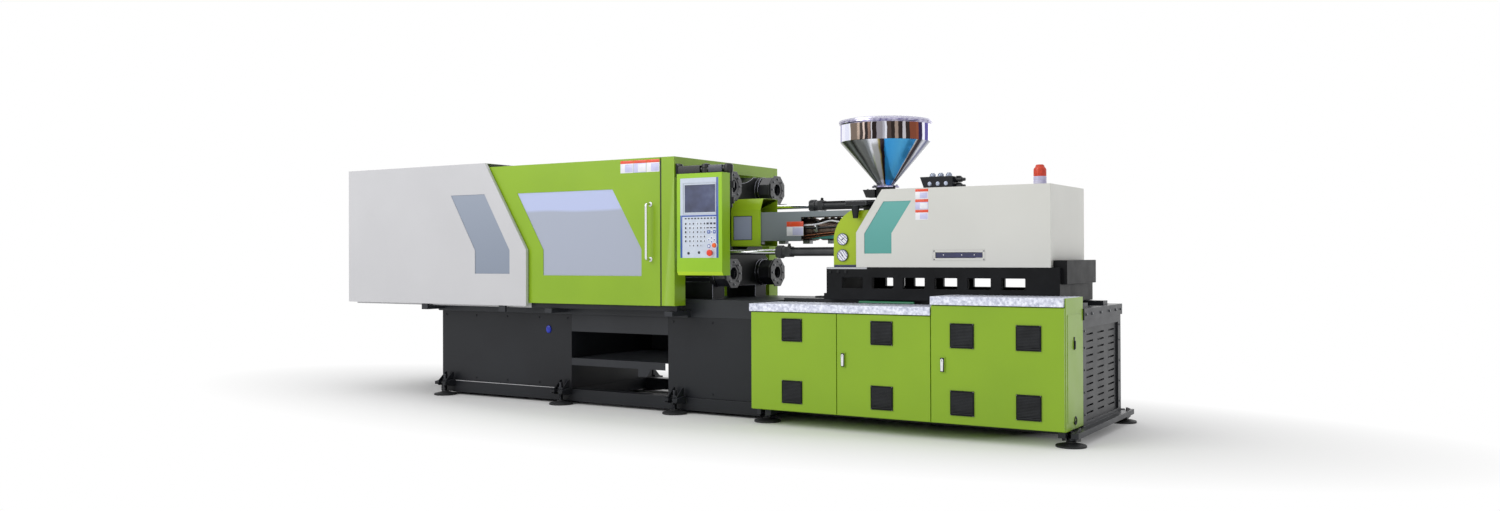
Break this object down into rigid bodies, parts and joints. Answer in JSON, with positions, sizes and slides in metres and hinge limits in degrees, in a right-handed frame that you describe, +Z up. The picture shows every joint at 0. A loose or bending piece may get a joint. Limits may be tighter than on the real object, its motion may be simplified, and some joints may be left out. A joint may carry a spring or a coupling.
{
  "type": "injection moulding machine",
  "caption": "Horizontal toggle-clamp injection moulding machine with sliding gates, swinging control panel, hopper, injection unit and cabinets on levelling feet.",
  "frame": {"origin": "middle of the footprint, on the floor", "axes": "+X from the clamp end to the injection end, -Y the operator's side, +Z up"},
  "size_m": [5.518, 1.444, 1.837],
  "materials": {
    "bed_grey": "satin dark grey paint",
    "panel_green": "semi-gloss green paint",
    "cover_white": "semi-gloss off-white paint",
    "machine_black": "black painted casting",
    "ground_steel": "ground steel",
    "polished_steel": "mirror polished stainless steel",
    "tread_aluminium": "chequered aluminium",
    "window_frost": "frosted acrylic",
    "window_teal": "teal acrylic",
    "rubber_black": "moulded rubber over steel",
    "face_print": "printed film",
    "screen_dark": "display glass",
    "button_orange": "moulded plastic",
    "beacon_red": "red lens on a white base",
    "shield_grey": "grey paint",
    "oxide_steel": "dark steel"
  },
  "bodies": {
    "machine": {"bed_frame": "bed_grey", "bed_skins": "bed_grey", "bay_tray": "bed_grey", "levelling_feet": "rubber_black", "oil_tank": "bed_grey", "cabinet_low": "panel_green", "cabinet_high": "panel_green", "tread_plates": "tread_aluminium", "rear_platen": "machine_black", "clamp_bars": "ground_steel", "tie_bar_nuts": "machine_black", "clamp_cylinder": "machine_black", "fixed_platen": "machine_black", "guard_frame": "panel_green", "cover_sides": "cover_white", "cover_windows": "window_frost", "cover_roof": "cover_white", "panel_arm": "machine_black", "nozzle_guard": "panel_green", "carriage_rods": "polished_steel"},
    "moving_platen": {"moving_platen": "machine_black", "ejector_cylinder": "oxide_steel"},
    "ejector": {"ejector_rod": "ground_steel"},
    "crosshead": {"crosshead": "oxide_steel"},
    "rear_link_upper": {"rear_link_upper": "oxide_steel"},
    "rear_link_lower": {"rear_link_lower": "oxide_steel"},
    "front_link_upper": {"front_link_upper": "oxide_steel"},
    "front_link_lower": {"front_link_lower": "oxide_steel"},
    "short_link_upper": {"short_link_upper": "oxide_steel"},
    "short_link_lower": {"short_link_lower": "oxide_steel"},
    "gate_front": {"gate_front": "panel_green", "gate_front_window": "window_frost", "gate_front_handle": "polished_steel"},
    "gate_rear": {"gate_rear": "panel_green", "gate_rear_window": "window_frost", "gate_rear_handle": "polished_steel"},
    "control_panel": {"panel_housing": "panel_green", "panel_faceplate": "face_print", "panel_screen": "screen_dark"},
    "start_button": {"start_button": "button_orange"},
    "stop_button": {"stop_button": "button_orange"},
    "nozzle_door": {"nozzle_guard_door": "panel_green", "nozzle_guard_window": "window_frost"},
    "door_left": {"door_left": "panel_green"},
    "door_middle": {"door_middle": "panel_green"},
    "door_wide": {"door_wide": "panel_green"},
    "injection_unit": {"carriage_cylinders": "machine_black", "injection_base": "machine_black", "injection_cover": "cover_white", "injection_cover_windows": "window_teal", "nose_cap": "panel_green", "gauges": "polished_steel", "barrel": "oxide_steel", "barrel_guard": "shield_grey", "feed_block": "machine_black", "hopper": "polished_steel", "hopper_lid": "polished_steel", "beacon": "beacon_red", "valve_block": "machine_black"}
  },
  "joints": [
    {"name": "clamp_stroke", "type": "slide", "parent": "machine", "child": "moving_platen", "axis": [1, 0, 0], "range_m": [0, 0.39583]},
    {"name": "ejector_stroke", "type": "slide", "parent": "moving_platen", "child": "ejector", "axis": [1, 0, 0], "range_m": [0, 0.1]},
    {"name": "crosshead_stroke", "type": "slide", "parent": "machine", "child": "crosshead", "axis": [1, 0, 0], "range_m": [0, 0.29313]},
    {"name": "rear_link_upper_turn", "type": "hinge", "parent": "machine", "child": "rear_link_upper", "pos_m": [-1.298, 0, 1.505], "axis": [0, 1, 0], "range_deg": [-80.01, 0]},
    {"name": "front_link_upper_turn", "type": "hinge", "parent": "rear_link_upper", "child": "front_link_upper", "pos_m": [-1.28858, 0, 1.23516], "axis": [0, 1, 0], "range_deg": [0, 128.32]},
    {"name": "short_link_upper_turn", "type": "hinge", "parent": "rear_link_upper", "child": "short_link_upper", "pos_m": [-1.36052, 0, 1.35772], "axis": [0, 1, 0], "range_deg": [0, 35.49]},
    {"name": "rear_link_lower_turn", "type": "hinge", "parent": "machine", "child": "rear_link_lower", "pos_m": [-1.298, 0, 0.835], "axis": [0, 1, 0], "range_deg": [0, 80.01]},
    {"name": "front_link_lower_turn", "type": "hinge", "parent": "rear_link_lower", "child": "front_link_lower", "pos_m": [-1.28858, 0, 1.10484], "axis": [0, 1, 0], "range_deg": [-128.32, 0]},
    {"name": "short_link_lower_turn", "type": "hinge", "parent": "rear_link_lower", "child": "short_link_lower", "pos_m": [-1.36052, 0, 0.98228], "axis": [0, 1, 0], "range_deg": [-35.49, 0]},
    {"name": "gate_front_slide", "type": "slide", "parent": "machine", "child": "gate_front", "axis": [-1, 0, 0], "range_m": [0, 0.95]},
    {"name": "gate_rear_slide", "type": "slide", "parent": "machine", "child": "gate_rear", "axis": [-1, 0, 0], "range_m": [0, 0.95]},
    {"name": "panel_swing", "type": "hinge", "parent": "machine", "child": "control_panel", "pos_m": [0.611, -0.596, 1.4], "axis": [0, 0, 1], "range_deg": [-25, 80]},
    {"name": "start_button_press", "type": "slide", "parent": "control_panel", "child": "start_button", "axis": [0, 1, 0], "range_m": [0, 0.003], "stiffness_N_per_m": 200},
    {"name": "stop_button_press", "type": "slide", "parent": "control_panel", "child": "stop_button", "axis": [0, 1, 0], "range_m": [0, 0.005]},
    {"name": "nozzle_door_swing", "type": "hinge", "parent": "machine", "child": "nozzle_door", "pos_m": [0.541, -0.1153, 1.18], "axis": [0, 0, 1], "range_deg": [0, 90]},
    {"name": "door_left_swing", "type": "hinge", "parent": "machine", "child": "door_left", "pos_m": [0.8085, -0.66, 0.38], "axis": [0, 0, -1], "range_deg": [0, 100]},
    {"name": "door_middle_swing", "type": "hinge", "parent": "machine", "child": "door_middle", "pos_m": [1.9495, -0.66, 0.38], "axis": [0, 0, 1], "range_deg": [0, 100]},
    {"name": "door_wide_swing", "type": "hinge", "parent": "machine", "child": "door_wide", "pos_m": [2.6835, -0.66, 0.41], "axis": [0, 0, 1], "range_deg": [0, 100]},
    {"name": "carriage_slide", "type": "slide", "parent": "machine", "child": "injection_unit", "axis": [1, 0, 0], "range_m": [-0.11, 0.1]}
  ],
  "couplings": [
    {"joint": "crosshead_stroke", "follows": "clamp_stroke", "ratio": 0.74052},
    {"joint": "rear_link_upper_turn", "follows": "clamp_stroke", "rad_per_m": -3.5274},
    {"joint": "front_link_upper_turn", "follows": "clamp_stroke", "rad_per_m": 5.6578},
    {"joint": "short_link_upper_turn", "follows": "clamp_stroke", "rad_per_m": 1.5646},
    {"joint": "rear_link_lower_turn", "follows": "clamp_stroke", "rad_per_m": 3.5274},
    {"joint": "front_link_lower_turn", "follows": "clamp_stroke", "rad_per_m": -5.6578},
    {"joint": "short_link_lower_turn", "follows": "clamp_stroke", "rad_per_m": -1.5646}
  ]
}
